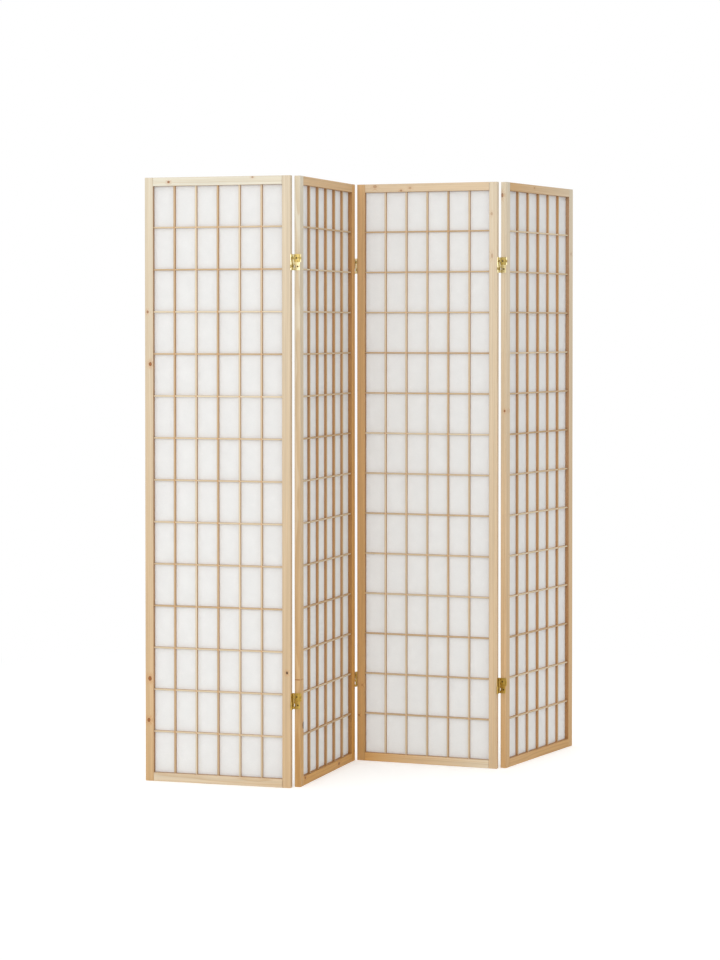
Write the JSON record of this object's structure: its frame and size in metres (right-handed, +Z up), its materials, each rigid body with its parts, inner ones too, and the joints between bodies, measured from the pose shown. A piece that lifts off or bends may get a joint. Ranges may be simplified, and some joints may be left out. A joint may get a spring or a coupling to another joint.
{
  "type": "folding screen",
  "caption": "Freestanding folding screen of hinged softwood panels, each a frame with a flush lattice backed by white paper, joined by brass hinges that fold either way.",
  "frame": {"origin": "on the floor, under the middle of the standing screen's footprint box", "axes": "+Z up along the stiles, front (the lattice side) towards -Y, panels numbered from -X to +X"},
  "size_m": [1.291, 0.684, 1.75],
  "materials": {
    "frame_wood": "clear satin lacquer on pale knotty softwood",
    "lattice_wood": "clear satin lacquer on darker edge-grain softwood strips",
    "paper": "matt white fibre paper",
    "brass": "polished brass plate"
  },
  "bodies": {
    "panel_1": {"panel_1_left_stile": "frame_wood", "panel_1_right_stile": "frame_wood", "panel_1_top_rail": "frame_wood", "panel_1_bottom_rail": "frame_wood", "panel_1_lattice": "lattice_wood", "panel_1_paper": "paper", "hinge_12_bottom_leaf_left": "brass", "hinge_12_bottom_pin_upper": "brass", "hinge_12_bottom_link_lower": "brass", "hinge_12_top_leaf_left": "brass", "hinge_12_top_pin_upper": "brass", "hinge_12_top_link_lower": "brass"},
    "panel_2": {"panel_2_left_stile": "frame_wood", "panel_2_right_stile": "frame_wood", "panel_2_top_rail": "frame_wood", "panel_2_bottom_rail": "frame_wood", "panel_2_lattice": "lattice_wood", "panel_2_paper": "paper", "hinge_12_bottom_leaf_right": "brass", "hinge_12_bottom_link_upper": "brass", "hinge_12_bottom_pin_lower": "brass", "hinge_12_top_leaf_right": "brass", "hinge_12_top_link_upper": "brass", "hinge_12_top_pin_lower": "brass", "hinge_23_bottom_leaf_left": "brass", "hinge_23_bottom_link_upper": "brass", "hinge_23_bottom_pin_lower": "brass", "hinge_23_top_leaf_left": "brass", "hinge_23_top_link_upper": "brass", "hinge_23_top_pin_lower": "brass"},
    "panel_3": {"panel_3_left_stile": "frame_wood", "panel_3_right_stile": "frame_wood", "panel_3_top_rail": "frame_wood", "panel_3_bottom_rail": "frame_wood", "panel_3_lattice": "lattice_wood", "panel_3_paper": "paper", "hinge_23_bottom_leaf_right": "brass", "hinge_23_bottom_pin_upper": "brass", "hinge_23_bottom_link_lower": "brass", "hinge_23_top_leaf_right": "brass", "hinge_23_top_pin_upper": "brass", "hinge_23_top_link_lower": "brass", "hinge_34_bottom_leaf_left": "brass", "hinge_34_bottom_pin_upper": "brass", "hinge_34_bottom_link_lower": "brass", "hinge_34_top_leaf_left": "brass", "hinge_34_top_pin_upper": "brass", "hinge_34_top_link_lower": "brass"},
    "panel_4": {"panel_4_left_stile": "frame_wood", "panel_4_right_stile": "frame_wood", "panel_4_top_rail": "frame_wood", "panel_4_bottom_rail": "frame_wood", "panel_4_lattice": "lattice_wood", "panel_4_paper": "paper", "hinge_34_bottom_leaf_right": "brass", "hinge_34_bottom_link_upper": "brass", "hinge_34_bottom_pin_lower": "brass", "hinge_34_top_leaf_right": "brass", "hinge_34_top_link_upper": "brass", "hinge_34_top_pin_lower": "brass"}
  },
  "joints": [
    {"name": "fold_12", "type": "hinge", "parent": "panel_1", "child": "panel_2", "pos_m": [-0.21302, -0.31781, 0.875], "axis": [0, 0, 1], "range_deg": [-84.3, 94.7]},
    {"name": "fold_23", "type": "hinge", "parent": "panel_2", "child": "panel_3", "pos_m": [-0.0344, 0.0904, 0.875], "axis": [0, 0, -1], "range_deg": [-88.1, 90.9]},
    {"name": "fold_34", "type": "hinge", "parent": "panel_3", "child": "panel_4", "pos_m": [0.39421, -0.03143, 0.875], "axis": [0, 0, 1], "range_deg": [-76.8, 102.2]}
  ]
}
